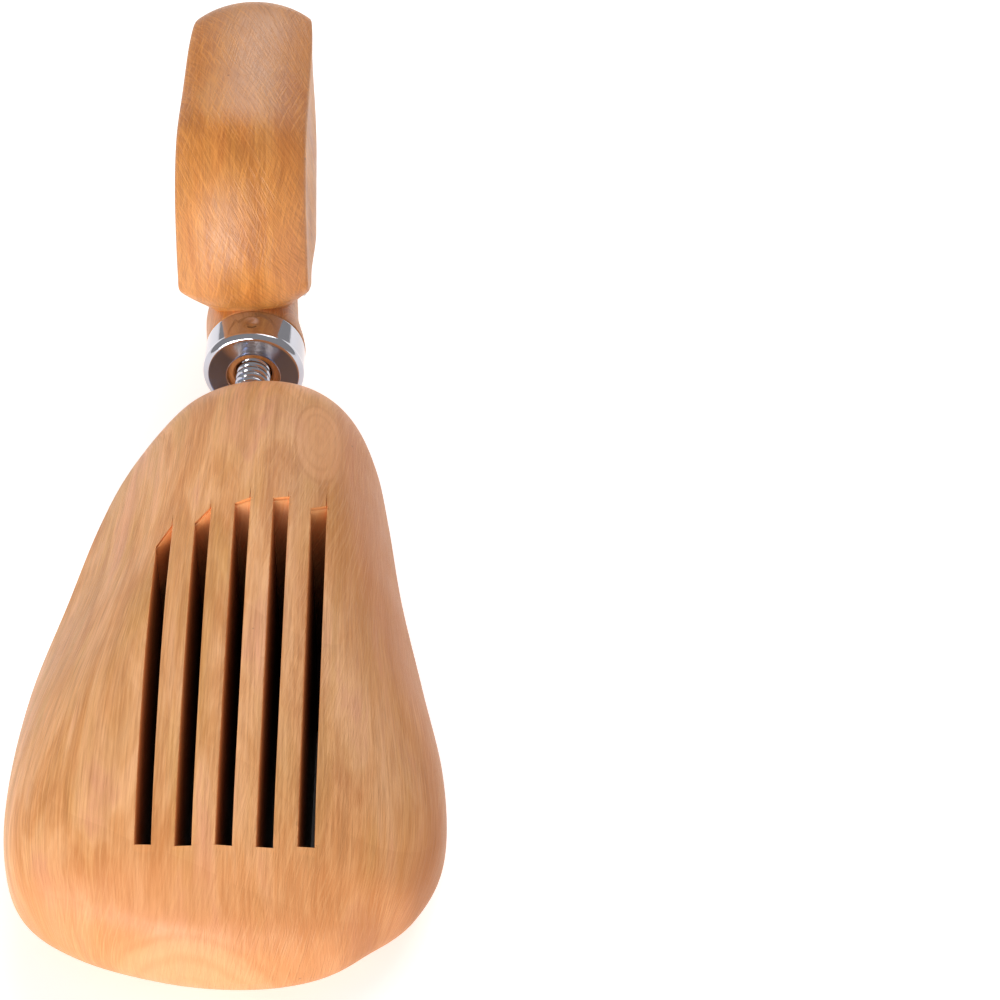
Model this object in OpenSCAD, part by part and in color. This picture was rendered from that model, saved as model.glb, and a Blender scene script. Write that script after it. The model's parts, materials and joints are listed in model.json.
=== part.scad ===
// Sprung wooden shoe tree for one shoe, with a screw that sets its length.
// Millimetres. +Z is up, the toe points to -Y and the heel to +Y.
// The origin lies on the flat sole, below the spindle's axis, at the broad ball of the foot.

/* [Spindle line] */
// Height of the spindle's axis above the sole
axis_z = 33; // [31:0.5:34]
// Outer diameter of the spindle's round thread
spindle_d = 8.4; // [7.6:0.1:8.6]
// Radial running clearance between the spindle and its threaded insert
thread_gap = 0.05; // [0.02:0.01:0.1]
// Outer diameter of the threaded insert
insert_d = 12; // [11:0.5:14]
// Length of the threaded insert
insert_len = 35; // [25:1:38]

/* [Vents] */
// Number of vent slots sawn down through the forefoot
vent_count = 5; // [1:1:7]
// Width of one vent slot
vent_w = 3.4; // [2:0.1:3.8]
// Distance from one vent slot to the next
vent_pitch = 8.35; // [7:0.1:9]
// Sideways place of the middle vent slot
vent_x = 2.6; // [0:0.2:4]
// Radius of the saw blade that leaves the round ends of the slots
blade_r = 43; // [38:1:44]

/* [Ferrule] */
// Outside diameter of the ferrule at its rolled front rim
ferrule_d = 24.5; // [23.6:0.1:26]
// Length of the ferrule
ferrule_len = 10; // [8:0.5:11]
// Sheet thickness of the ferrule
ferrule_t = 0.8; // [0.6:0.1:1]
// Diameter of the hole in the ferrule's front plate
ferrule_hole_d = 12.8; // [11:0.2:15]
// Radius of the ferrule's rolled rim
rim_r = 1.6; // [1:0.1:2]

/* [Heel] */
// Sideways place of the heel block's middle plane
heel_x = -2.2; // [-2.4:0.1:0]
// Half width of the heel block at the edges of its crowned rim
heel_half_w = 15.7; // [15:0.1:17]
// Height of the rim's crown from its edges to its middle
heel_crown = 6.4; // [4:0.2:7]
// Diameter of the blind bore in the neck and heel block
heel_bore_d = 8.9; // [8.8:0.1:9.4]
// Diameter of the cross pin that holds the spindle in the heel block
pin_d = 3; // [2.5:0.1:3]
// How far the heel can be pushed towards the toe against the spring
spring_travel = 9; // [4:0.5:10]

/* [Spring] */
// Wire diameter of the compression spring
wire_d = 1; // [0.8:0.1:1.2]
// Outer diameter of the compression spring
spring_d = 7.8; // [7:0.1:8]
// Turns of the compression spring
spring_turns = 9; // [7:1:11]

/* [Hidden] */
$fn = 64;
eps = 0.02;

// Places along the spindle's line
forefoot_end_y = 105;
spindle_front_y = 66;
spindle_rear_y = 158;
ferrule_y = 118;
pin_y = 152;
bore_end_y = 191;
disc_t = 1.2;
rest_gap = 0.1;
// The two discs are this much smaller than what they lie against
disc_clear = 0.1;
// Half the length of the cross pin, which ends just inside the block's flat sides
pin_half_len = 13;
// The forefoot's bore is this much wider than the spindle, and runs this far past its front end
bore_clear = 0.8;
bore_past = 6;

// Cutting solids reach this far past the wood, and this deep below a flat cut
reach = 130;
cut_deep = 20;

// The blade's centre, seen from the side
blade_y = 10.5;
blade_z = 38;

// The ferrule is staked into the wood by round dents
dent_count = 3;
dent_r = 4;
dent_depth = 0.7;
dent_back = 5.5;

// ---------- shared curves ----------

// Catmull-Rom blend of four rows, at t from 0 to 1 between the middle two
function blend(a, b, c, d, t) =
    0.5 * (2 * b + (c - a) * t + (2 * a - 5 * b + 4 * c - d) * t * t
    + (3 * b - a - 3 * c + d) * t * t * t);

// A smooth open run through rows, with steps points between two rows
function open_run(rows, steps) =
    let (n = len(rows))
    [for (i = [0 : n - 2], k = [0 : steps - 1])
        blend(rows[max(i - 1, 0)], rows[i], rows[i + 1], rows[min(i + 2, n - 1)], k / steps),
     rows[n - 1]];

// A smooth closed loop through points
function closed_run(points, steps) =
    let (n = len(points))
    [for (i = [0 : n - 1], k = [0 : steps - 1])
        blend(points[(i + n - 1) % n], points[i], points[(i + 1) % n], points[(i + 2) % n], k / steps)];

function signed_pow(v, e) = sign(v) * pow(abs(v), e);

// One closed solid through rings that all have the same number of points
module loft(rings) {
    m = len(rings[0]);
    last = len(rings) - 1;
    points = [for (ring = rings, p = ring) p];
    sides = [for (i = [0 : last - 1], j = [0 : m - 1])
        each [[i * m + j, i * m + (j + 1) % m, (i + 1) * m + j],
              [i * m + (j + 1) % m, (i + 1) * m + (j + 1) % m, (i + 1) * m + j]]];
    first_cap = [for (j = [m - 1 : -1 : 0]) j];
    last_cap = [for (j = [0 : m - 1]) last * m + j];
    polyhedron(points = points, faces = concat([first_cap], sides, [last_cap]));
}

// A bar on the spindle's axis from y0 to y1
module axis_bar(d, y0, y1) {
    translate([0, y0, axis_z]) rotate([-90, 0, 0]) cylinder(d = d, h = y1 - y0);
}

// ---------- forefoot ----------

// Lofting table of the forefoot, toe to rear: y, left edge x, right edge x, height of the widest
// line, height of the top, x of the top, height of the underside, fullness of the crown
forefoot_rows = [
    [-49.8,  3,     12,   13,   15,    7,   10.5, 2.4],
    [-48.4, -7,     19,   13,   20,    6,    7,   2.4],
    [-45.2, -19,    27,   13.5, 25,    4,    3.5, 2.5],
    [-39.8, -32.5,  33.8, 14,   29.3,  2,    0.3, 2.6],
    [-32.6, -41.5,  42,   15,   33.8, -2,   -2,   2.6],
    [-20,   -45.4,  47.2, 16,   38.2, -4,   -3,   2.5],
    [0,     -46.2,  46.8, 17.5, 42.7, -2,   -3,   2],
    [25,    -44.5,  42.1, 19,   47.8,  4,   -3,   1.3],
    [50,    -38.9,  37,   22,   51.8,  9,   -3,   0.97],
    [72,    -33.8,  33.7, 25,   53.4,  9,   -3,   0.97],
    [88,    -28,    30.6, 28,   52.2,  8,   -1.5, 1.15],
    [98,    -20.5,  25.8, 30,   48,    5,    5,   1.55],
    [103,   -14,    17,   32,   42,    2,   17,   2],
    [105,   -8,     9,    33,   39.5,  0.5, 26.5, 2]
];
row_steps = 3;
ring_points = 44;

// Squareness of a cross-section in plan and under its widest line: 2 is an ellipse
crown_x = 2.1;
under_z = 2.6;

// One cross-section of the forefoot, from its lofting row
function forefoot_ring(r) =
    let (mid = (r[1] + r[2]) / 2, half = (r[2] - r[1]) / 2)
    [for (j = [0 : ring_points - 1])
        let (a = 360 * j / ring_points, s = sin(a), up = s > 0)
        [mid + half * signed_pow(cos(a), 2 / crown_x) + (up ? (r[5] - mid) * s * s : 0),
         r[0],
         up ? r[3] + (r[4] - r[3]) * pow(s, 2 / r[7])
            : r[3] - (r[3] - r[6]) * pow(-s, 2 / under_z)]];

module vent_cutter(k) {
    x = vent_x + (k - (vent_count - 1) / 2) * vent_pitch;
    translate([x - vent_w / 2, blade_y, blade_z]) rotate([0, 90, 0])
        cylinder(r = blade_r, h = vent_w, $fn = 96);
}

module forefoot_block() {
    color([0.84, 0.62, 0.43])
    difference() {
        loft([for (row = open_run(forefoot_rows, row_steps)) forefoot_ring(row)]);
        translate([-reach / 2, -reach / 2, -cut_deep]) cube([reach, 2 * reach, cut_deep]);
        for (k = [0 : vent_count - 1]) vent_cutter(k);
        axis_bar(insert_d + 2 * eps, forefoot_end_y - insert_len, reach);
        axis_bar(spindle_d + bore_clear, spindle_front_y - bore_past, reach);
    }
}

// ---------- spindle and its insert ----------

module thread_insert() {
    color([0.72, 0.72, 0.74])
    difference() {
        axis_bar(insert_d, forefoot_end_y - insert_len, forefoot_end_y);
        axis_bar(spindle_d + 2 * thread_gap, forefoot_end_y - insert_len - 1, forefoot_end_y + 1);
    }
}

module spindle() {
    slot_gap = 0.05;
    slot_front_y = pin_y - spring_travel;
    slot_h = pin_d + 2 * slot_gap;
    color([0.8, 0.81, 0.84])
    difference() {
        axis_bar(spindle_d, spindle_front_y, spindle_rear_y);
        translate([-spindle_d, slot_front_y, axis_z - slot_h / 2])
            cube([2 * spindle_d, spring_travel, slot_h]);
        for (y = [slot_front_y, pin_y])
            translate([-spindle_d, y, axis_z]) rotate([0, 90, 0]) cylinder(d = slot_h, h = 2 * spindle_d);
    }
}

// ---------- spring and its two discs ----------

module spring_washer() {
    color([0.7, 0.7, 0.72])
    axis_bar(spindle_d - disc_clear, spindle_rear_y + rest_gap / 2, spindle_rear_y + rest_gap / 2 + disc_t);
}

module spring_seat() {
    color([0.7, 0.7, 0.72])
    axis_bar(heel_bore_d - 2 * disc_clear, bore_end_y - rest_gap / 2 - disc_t, bore_end_y - rest_gap / 2);
}

module compression_spring() {
    y0 = spindle_rear_y + rest_gap + disc_t + wire_d / 2;
    y1 = bore_end_y - rest_gap - disc_t - wire_d / 2;
    coil_r = (spring_d - wire_d) / 2;
    wire_sides = 8;
    turn_steps = 18;
    last = spring_turns * turn_steps;
    color([0.6, 0.61, 0.63])
    loft([for (i = [0 : last])
        let (a = 360 * i / turn_steps, y = y0 + (y1 - y0) * i / last)
        [for (j = [0 : wire_sides - 1])
            let (b = 360 * j / wire_sides, r = coil_r + wire_d / 2 * cos(b))
            [r * cos(a), y + wire_d / 2 * sin(b), axis_z + r * sin(a)]]]);
}

module cross_pin() {
    middle_x = heel_point(0, [pin_y, axis_z])[0];
    color([0.74, 0.74, 0.76])
    translate([middle_x - pin_half_len, pin_y, axis_z]) rotate([0, 90, 0])
        cylinder(d = pin_d, h = 2 * pin_half_len);
}

// ---------- ferrule ----------

// Balls that press the round dents, r larger than the dent by the sheet that they push in
module dent_balls(extra) {
    ball_r = dent_r + extra;
    for (k = [0 : dent_count - 1])
        translate([0, ferrule_y + dent_back, axis_z]) rotate([0, k * 360 / dent_count, 0])
            translate([0, 0, ferrule_d / 2 + dent_r - dent_depth]) sphere(r = ball_r);
}

// Half section of the ferrule: x is the radius, y the distance back from its front face
module ferrule_section() {
    outer = ferrule_d / 2;
    roll = [for (a = [0 : 15 : 90]) [outer - rim_r + rim_r * sin(a), rim_r - rim_r * cos(a)]];
    polygon(concat(
        [[ferrule_hole_d / 2, 0]], roll,
        [[outer, ferrule_len], [outer - ferrule_t, ferrule_len],
         [outer - ferrule_t, rim_r], [outer - rim_r, ferrule_t], [ferrule_hole_d / 2, ferrule_t]]));
}

module ferrule() {
    color([0.78, 0.78, 0.82])
    difference() {
        union() {
            translate([0, ferrule_y, axis_z]) rotate([-90, 0, 0]) rotate_extrude() ferrule_section();
            intersection() {
                axis_bar(ferrule_d - ferrule_t, ferrule_y + ferrule_t, ferrule_y + ferrule_len);
                dent_balls(ferrule_t);
            }
        }
        dent_balls(0);
    }
}

// ---------- heel block ----------

// Side outline of the heel block on its middle plane, from the nose over the top:
// y, z and the crown of the rim there as a part of heel_crown
heel_outline = [
    [127.5, 46.3, 0.7], [124.8, 53, 0.9], [126.2, 63, 1], [131, 75, 1], [138, 84, 1],
    [147.5, 89.7, 1], [163, 92.2, 1], [178, 94.3, 0.9], [189.5, 93.3, 0.7], [198, 86.5, 0.75],
    [203.5, 71, 0.9], [206, 48, 1], [205.5, 26, 1.1], [201, 9, 1.2], [191, -0.5, 1.4], [179, 0, 1.6],
    [164, 10, 1.9], [148, 24, 1.9], [136, 36.5, 1.3]
];
outline_steps = 4;
// Point that the flat sides shrink towards
heel_mid = [160, 56];
// The block starts at its nose and narrows by this part of its width for each mm behind it
nose = [127, 46];
heel_taper = 0.0006;
// Its foot narrows by this part for each mm, measured from the nose down and back at foot_angle
foot_taper = 0.009;
foot_start = 12;
foot_angle = 41.5;
// Its middle plane turns back to the spindle's line by this much for each mm towards the rear
heel_turn_back = 0.024;
// The middle of each flat side swells by this much
side_bulge = 1.2;
// The heel's small foot stands this high above the sole's plane
foot_z = 0.4;

heel_loop = closed_run(heel_outline, outline_steps);

// The loop moved in along its own normals, by d where the crown is full
function inset_loop(d) =
    let (n = len(heel_loop))
    [for (i = [0 : n - 1])
        let (p = heel_loop[i], a = heel_loop[(i + n - 1) % n], b = heel_loop[(i + 1) % n],
             u = [b[0] - a[0], b[1] - a[1]] / norm([b[0] - a[0], b[1] - a[1]]))
        [p[0] + d * p[2] * u[1], p[1] - d * p[2] * u[0]]];

// A point of the block at side distance x, with the taper and the turn of the block
function heel_point(x, p) =
    let (back = p[0] - nose[0],
         away = back * cos(foot_angle) - (p[1] - nose[1]) * sin(foot_angle),
         k = (1 - heel_taper * back) * (1 - foot_taper * max(0, away - foot_start)))
    [heel_x + heel_turn_back * back + x * k, p[0], p[1]];

// Drop of the crowned rim at a distance x from the middle plane
function crown_drop(x) =
    let (r = (heel_half_w * heel_half_w + heel_crown * heel_crown) / (2 * heel_crown))
    r - sqrt(r * r - x * x);

// Places across the block as fractions of its half width, and the shrink of each side step
rim_places = [for (a = [-75 : 15 : 75]) sin(a) / sin(75)];
side_steps = [[0, 0.97], [0.05, 0.85], [0.35, 0.7], [0.85, 0.5], [1, 0.3]];

function rim_ring(f) =
    [for (p = inset_loop(crown_drop(f * heel_half_w))) heel_point(f * heel_half_w, p)];

function side_ring(side, step) =
    [for (p = inset_loop(heel_crown))
        heel_point(side * (heel_half_w + side_bulge * step[0]), heel_mid + (p - heel_mid) * step[1])];

module heel_solid() {
    last = len(side_steps) - 1;
    loft(concat(
        [for (k = [last : -1 : 0]) side_ring(-1, side_steps[k])],
        [for (f = rim_places) rim_ring(f)],
        [for (k = [0 : last]) side_ring(1, side_steps[k])]));
}

// The round neck: a bevelled tenon inside the ferrule, its shoulder, and a cone into the block
module neck() {
    tenon_r = ferrule_d / 2 - ferrule_t - 0.05;
    neck_r = ferrule_d / 2 - 0.15;
    bevel = 0.8;
    shoulder = ferrule_len + eps;
    shoulder_len = 1.5;
    cone_len = 24;
    cone_drop = 1.7;
    front = ferrule_t + rest_gap;
    difference() {
        translate([0, ferrule_y, axis_z]) rotate([-90, 0, 0]) rotate_extrude()
            polygon([[0, front], [tenon_r - bevel, front], [tenon_r, front + bevel], [tenon_r, shoulder],
                     [neck_r, shoulder], [neck_r, ferrule_len + shoulder_len],
                     [neck_r - cone_drop, ferrule_len + cone_len], [0, ferrule_len + cone_len]]);
        dent_balls(ferrule_t + eps);
    }
}

module heel_block() {
    color([0.82, 0.56, 0.33])
    difference() {
        union() {
            heel_solid();
            neck();
        }
        axis_bar(heel_bore_d, ferrule_y - 1, bore_end_y);
        translate([-reach / 2, ferrule_y, foot_z - cut_deep]) cube([reach, reach, cut_deep]);
        translate([-reach / 2, pin_y, axis_z]) rotate([0, 90, 0]) cylinder(d = pin_d + 2 * eps, h = reach);
    }
}

forefoot_block();
thread_insert();
spindle();
spring_washer();
compression_spring();
spring_seat();
cross_pin();
ferrule();
heel_block();
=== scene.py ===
"""A sprung wooden shoe tree: forefoot with sawn vents, chromed spindle and ferrule, tall heel block.

Shapes are worked out in millimetres in the CAD frame (toe at -Y, heel at +Y, +Z up) and written in metres.
"""

import json
import math

import bmesh
import bpy
import numpy as np
from mathutils import Matrix, Vector


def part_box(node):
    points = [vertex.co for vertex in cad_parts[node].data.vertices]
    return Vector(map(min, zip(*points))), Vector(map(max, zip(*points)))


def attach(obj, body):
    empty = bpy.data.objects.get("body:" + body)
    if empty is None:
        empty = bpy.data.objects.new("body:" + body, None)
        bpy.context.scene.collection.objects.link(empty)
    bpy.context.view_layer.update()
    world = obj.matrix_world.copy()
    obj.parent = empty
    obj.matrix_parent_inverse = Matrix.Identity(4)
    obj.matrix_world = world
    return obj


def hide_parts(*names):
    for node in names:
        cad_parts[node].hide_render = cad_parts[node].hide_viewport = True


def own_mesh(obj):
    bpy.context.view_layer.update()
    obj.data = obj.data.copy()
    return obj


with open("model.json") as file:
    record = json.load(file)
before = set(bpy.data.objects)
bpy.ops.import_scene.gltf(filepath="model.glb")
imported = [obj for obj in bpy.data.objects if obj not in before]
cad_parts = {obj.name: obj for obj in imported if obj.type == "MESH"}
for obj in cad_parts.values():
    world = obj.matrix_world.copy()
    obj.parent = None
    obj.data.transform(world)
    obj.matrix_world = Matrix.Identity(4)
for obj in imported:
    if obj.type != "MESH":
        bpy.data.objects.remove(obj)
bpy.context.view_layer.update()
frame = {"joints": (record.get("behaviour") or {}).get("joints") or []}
MM = 0.001


def box_mm(node):
    """Lowest and highest corner of a CAD node, in millimetres."""
    low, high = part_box(node)
    return np.array(low) / MM, np.array(high) / MM


# ---------- places on the spindle's line, from the frame ----------

SPINDLE_LOW, SPINDLE_HIGH = box_mm("spindle")
INSERT_LOW, INSERT_HIGH = box_mm("thread_insert")
FERRULE_LOW, FERRULE_HIGH = box_mm("ferrule")
WASHER_LOW, WASHER_HIGH = box_mm("spring_washer")
SEAT_LOW, SEAT_HIGH = box_mm("spring_seat")
SPRING_LOW, SPRING_HIGH = box_mm("compression_spring")
PIN_LOW, PIN_HIGH = box_mm("cross_pin")
AXIS_Z = (SPINDLE_LOW[2] + SPINDLE_HIGH[2]) / 2
SPINDLE_R = (SPINDLE_HIGH[2] - SPINDLE_LOW[2]) / 2
FERRULE_R = (FERRULE_HIGH[2] - FERRULE_LOW[2]) / 2
FERRULE_Y = FERRULE_LOW[1]
PIN_Y = (PIN_LOW[1] + PIN_HIGH[1]) / 2
PIN_R = (PIN_HIGH[1] - PIN_LOW[1]) / 2

rng = np.random.default_rng(7)


# ---------- mesh helpers ----------

def new_object(name, points, faces):
    """An object from points in millimetres, smooth shaded."""
    mesh = bpy.data.meshes.new(name)
    mesh.from_pydata((np.asarray(points) * MM).tolist(), [], faces)
    mesh.validate()
    tidy = bmesh.new()
    tidy.from_mesh(mesh)
    bmesh.ops.recalc_face_normals(tidy, faces=tidy.faces)
    if tidy.calc_volume(signed=True) < 0:
        bmesh.ops.reverse_faces(tidy, faces=tidy.faces)
    tidy.to_mesh(mesh)
    tidy.free()
    piece = bpy.data.objects.new(name, mesh)
    bpy.context.scene.collection.objects.link(piece)
    return piece


def loft(name, rings, wrap=False):
    """A closed solid through rings of equal length. wrap joins the last ring to the first."""
    rings = np.asarray(rings, float)
    count, around = rings.shape[:2]
    points = rings.reshape(-1, 3).tolist()
    faces = []
    for i in range(count if wrap else count - 1):
        a, b = i * around, (i + 1) % count * around
        faces += [(a + j, a + (j + 1) % around, b + (j + 1) % around, b + j) for j in range(around)]
    if not wrap:
        for start in (0, (count - 1) * around):
            middle = len(points)
            points.append(np.mean(points[start:start + around], axis=0).tolist())
            faces += [(start + j, start + (j + 1) % around, middle) for j in range(around)]
    return new_object(name, points, faces)


def lathe(name, profile, segments=96, wrap=False):
    """A solid turned about the spindle's axis. profile is a list of (radius, y)."""
    turn = np.linspace(0, 2 * math.pi, segments, endpoint=False)
    rings = [[(r * math.cos(t), y, AXIS_Z + r * math.sin(t)) for t in turn] for r, y in profile]
    return loft(name, rings, wrap)


def combine(piece, other, how):
    """Cuts other from piece, or joins it on, and removes it."""
    modifier = piece.modifiers.new("cut", "BOOLEAN")
    modifier.operation = how
    modifier.solver = "MANIFOLD"
    modifier.object = other
    graph = bpy.context.evaluated_depsgraph_get()
    made = bpy.data.meshes.new_from_object(piece.evaluated_get(graph))
    piece.modifiers.clear()
    old = piece.data
    piece.data = made
    bpy.data.meshes.remove(old)
    bpy.data.objects.remove(other)
    return piece


def soften(piece, angle=38):
    """Smooth shading, with creases left sharp."""
    piece.data.shade_smooth()
    piece.data.set_sharp_from_angle(angle=math.radians(angle))
    return piece


def fill_box(piece, node):
    """Brings a piece that stands for a node to exactly that node's box."""
    co = np.array([v.co for v in piece.data.vertices])
    low, high = (np.array(c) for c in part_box(node))
    co = low + (co - co.min(0)) / (co.max(0) - co.min(0)) * (high - low)
    piece.data.vertices.foreach_set("co", co.astype(np.float32).ravel())
    piece.data.update()
    return piece


def smooth_step(t):
    """0 below 0, 1 above 1, and an S curve between."""
    t = np.clip(t, 0, 1)
    return t * t * (3 - 2 * t)


def smooth_max(value, least, blend_r):
    """The larger of value and least, with the bend between them rounded."""
    return least + 0.5 * (value - least + np.sqrt((value - least) ** 2 + blend_r ** 2))


def catmull(a, b, c, d, t):
    return 0.5 * (2 * b + (c - a) * t + (2 * a - 5 * b + 4 * c - d) * t ** 2
                  + (3 * b - a - 3 * c + d) * t ** 3)


def open_run(rows, steps):
    """A smooth run through rows, from the first to the last."""
    rows = np.asarray(rows, float)
    n = len(rows)
    run = [catmull(rows[max(i - 1, 0)], rows[i], rows[i + 1], rows[min(i + 2, n - 1)], k / steps)
           for i in range(n - 1) for k in range(steps)]
    return np.array(run + [rows[-1]])


def closed_run(rows, steps):
    """A smooth loop through rows."""
    rows = np.asarray(rows, float)
    n = len(rows)
    return np.array([catmull(rows[i - 1], rows[i], rows[(i + 1) % n], rows[(i + 2) % n], k / steps)
                     for i in range(n) for k in range(steps)])


def signed_pow(v, e):
    return np.sign(v) * np.abs(v) ** e


def mark_surface(piece, skin, depth):
    """Stores each point's place on the unrolled surface, and how deep it lies in a cut, for the material."""
    co = np.array([v.co for v in piece.data.vertices]) / MM
    flat = piece.data.attributes.new("skin", "FLOAT_VECTOR", "POINT")
    flat.data.foreach_set("vector", (skin(co) * MM).astype(np.float32).ravel())
    deep = piece.data.attributes.new("deep", "FLOAT", "POINT")
    deep.data.foreach_set("value", depth(co).astype(np.float32))


# ---------- forefoot ----------

# Lofting table, toe to rear: y, left edge x, right edge x, height of the widest line, height of the top,
# x of the top, height of the underside, fullness of the crown
FOREFOOT_ROWS = [
    [-49.8, 3, 12, 13, 15, 7, 10.5, 2.4],
    [-48.4, -7, 19, 13, 20, 6, 7, 2.4],
    [-45.2, -19, 27, 13.5, 25, 4, 3.5, 2.5],
    [-39.8, -32.5, 33.8, 14, 29.3, 2, 0.3, 2.6],
    [-32.6, -41.5, 42, 15, 33.8, -2, -2, 2.6],
    [-20, -45.4, 47.2, 16, 38.2, -4, -3, 2.5],
    [0, -46.2, 46.8, 17.5, 42.7, -2, -3, 2],
    [25, -44.5, 42.1, 19, 47.8, 4, -3, 1.3],
    [50, -38.9, 37, 22, 51.8, 9, -3, 0.97],
    [72, -33.8, 33.7, 25, 53.4, 9, -3, 0.97],
    [88, -28, 30.6, 28, 52.2, 8, -1.5, 1.15],
    [98, -20.5, 25.8, 30, 48, 5, 5, 1.55],
    [103, -14, 17, 32, 42, 2, 17, 2],
    [105, -8, 9, 33, 39.5, 0.5, 26.5, 2],
]
CROWN_X, UNDER_Z = 2.1, 2.6
SOLE_BLEND = 0.9
RUN = open_run(FOREFOOT_ROWS, 16)


def forefoot_ring(row, angles):
    """Points of one cross-section at the given angles from its right edge, over the top."""
    y, left, right, wide_z, top_z, top_x, under, full = row
    middle, half = (left + right) / 2, (right - left) / 2
    c, s = np.cos(angles), np.sin(angles)
    x = middle + half * signed_pow(c, 2 / CROWN_X) + np.where(s > 0, (top_x - middle) * s * s, 0)
    up = wide_z + (top_z - wide_z) * np.abs(s) ** (2 / full)
    down = wide_z - (wide_z - under) * np.abs(s) ** (2 / UNDER_Z)
    z = np.where(s > 0, up, down)
    return np.stack([x, np.full_like(x, y), smooth_max(z, 0, SOLE_BLEND)], 1)


def crown_z(x, y):
    """Height of the forefoot's top surface."""
    row = [np.interp(y, RUN[:, 0], RUN[:, i]) for i in range(8)]
    ring = forefoot_ring(row, np.linspace(0.02, math.pi - 0.02, 240))
    return float(np.interp(x, ring[::-1, 0], ring[::-1, 2]))


BLADE_R, BLADE_Y, BLADE_Z = 43, 10.5, 38
VENT_W, VENT_PITCH, VENT_X = 3.4, 8.35, 2.6
VENT_COUNT = 5
EDGE_R = 0.3
# The depth that counts as the bottom of a vent, in mm below the crown
DEEPEST = 40
# The rear end of a slot falls off as a torn ramp: depth for each mm, and for each square mm
END_SLOPE, END_CURVE = 0.7, 0.4
# How far from each end of a slot its skew fades out
REAR_BLEND, FRONT_BLEND = 11, 3
# How far each slot's rear end stops short on its left and right side, left slot first
TIP_SHORT = [(5.2, 0.2), (3.4, 0.2), (1.2, 0.3), (1.0, 0.3), (2.6, 0.2)]
# How far each slot leans to the left at its rear end. The lean starts in front of the blade's centre, at this
# share of its radius
SLOT_LEAN = [1.3, 0.7, 0.1, -0.1, 0]
LEAN_START = 0.7
# Length of the score that the saw leaves beyond each slot
OVERRUNS = [5, 4, 4.5, 3, 6]


def vent_middle(k, y):
    """The middle line of a slot."""
    lean = SLOT_LEAN[k] * ((y - BLADE_Y) / BLADE_R + LEAN_START) / (1 + LEAN_START)
    return VENT_X + (k - (VENT_COUNT - 1) / 2) * VENT_PITCH - lean


def slot_cutter(k):
    """What the saw takes out for one vent: the blade's arc, with rounded edges and skewed ends."""
    short_left, short_right = TIP_SHORT[k]
    front, rear = BLADE_Y - math.sqrt(BLADE_R ** 2 - 5 ** 2), BLADE_Y + BLADE_R - 0.02
    turn = np.linspace(0, math.pi, 90)
    ys = (front + rear) / 2 - (rear - front) / 2 * np.cos(turn)
    rings = []
    front_skew = rng.uniform(-0.6, 0.35, 2)
    for y in ys:
        left, right = vent_middle(k, y) - VENT_W / 2, vent_middle(k, y) + VENT_W / 2
        near_end = smooth_step((y - rear + REAR_BLEND) / REAR_BLEND) ** 2
        near_front = smooth_step((front + FRONT_BLEND - y) / FRONT_BLEND)
        sides = [(1, right, short_right, front_skew[0]), (-1, left, short_left, front_skew[1])]
        floor = BLADE_Z - math.sqrt(max(BLADE_R ** 2 - (y - BLADE_Y) ** 2, 0))
        ring = []
        for side, x, short, skew in sides:
            yy = y - short * near_end + skew * near_front
            wobble = np.clip(rng.standard_normal(2), -1.6, 2.5) * (0.08 if side > 0 else 0.05) * (side, 1)
            top = crown_z(x, yy)
            start, corner = np.array([x, top - EDGE_R]), np.array([x, top])
            edge = np.array([x + side * EDGE_R, crown_z(x + side * EDGE_R, yy)]) + wobble
            bend = [(1 - t) ** 2 * start + 2 * t * (1 - t) * corner + t * t * edge
                    for t in (0, 0.3, 0.6, 0.9)]
            out = edge + (edge - corner) / EDGE_R * 0.12 + np.array([0, 0.05])
            high = np.array([out[0] + side * 0.3, top + 9])
            torn = top - END_SLOPE * (rear - y) - END_CURVE * (rear - y) ** 2
            foot = min(max(floor, torn), top - 0.6)
            wall = [np.array([x, top - EDGE_R - (top - EDGE_R - foot) * t])
                    for t in (1, 0.6, 0.3, 0.15, 0.06, 0.02)]
            ring.append([(p[0], yy, p[1]) for p in wall + bend + [out, high]])
        rings.append(ring[0] + ring[1][::-1])
    return loft("slot", rings)


def overrun_cutter(x, start, length, deep, wide):
    """A shallow score that the saw leaves beyond a slot."""
    rings = []
    for t in np.linspace(0, 1, 8):
        y, narrow = start + length * t, 1 - 0.85 * t
        top = crown_z(x, y)
        rings.append([(x - wide * narrow, y, top + 0.3), (x, y, top - deep * narrow),
                      (x + wide * narrow, y, top + 0.3), (x, y, top + 1.5)])
    return loft("overrun", rings)


def make_forefoot():
    angles = np.linspace(0, 2 * math.pi, 208, endpoint=False)
    piece = loft("forefoot_wood", [forefoot_ring(row, angles) for row in RUN])
    fill_box(piece, "forefoot_block")
    for k in range(VENT_COUNT):
        combine(piece, slot_cutter(k), "DIFFERENCE")
    for k, length in enumerate(OVERRUNS):
        x = vent_middle(k, BLADE_Y + BLADE_R) + VENT_W / 2 - 0.15
        combine(piece, overrun_cutter(x, BLADE_Y + BLADE_R - 2.5, length + 1, 0.6, 0.32), "DIFFERENCE")
    insert_r = (INSERT_HIGH[2] - INSERT_LOW[2]) / 2 + 0.02
    bore = [(insert_r, INSERT_HIGH[1] + 3), (insert_r, INSERT_LOW[1]),
            (SPINDLE_R + 0.4, INSERT_LOW[1]), (SPINDLE_R + 0.4, SPINDLE_LOW[1] - 6)]
    combine(piece, lathe("bore", bore), "DIFFERENCE")
    mark_surface(piece, forefoot_skin, vent_depth)
    return soften(piece)


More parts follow.
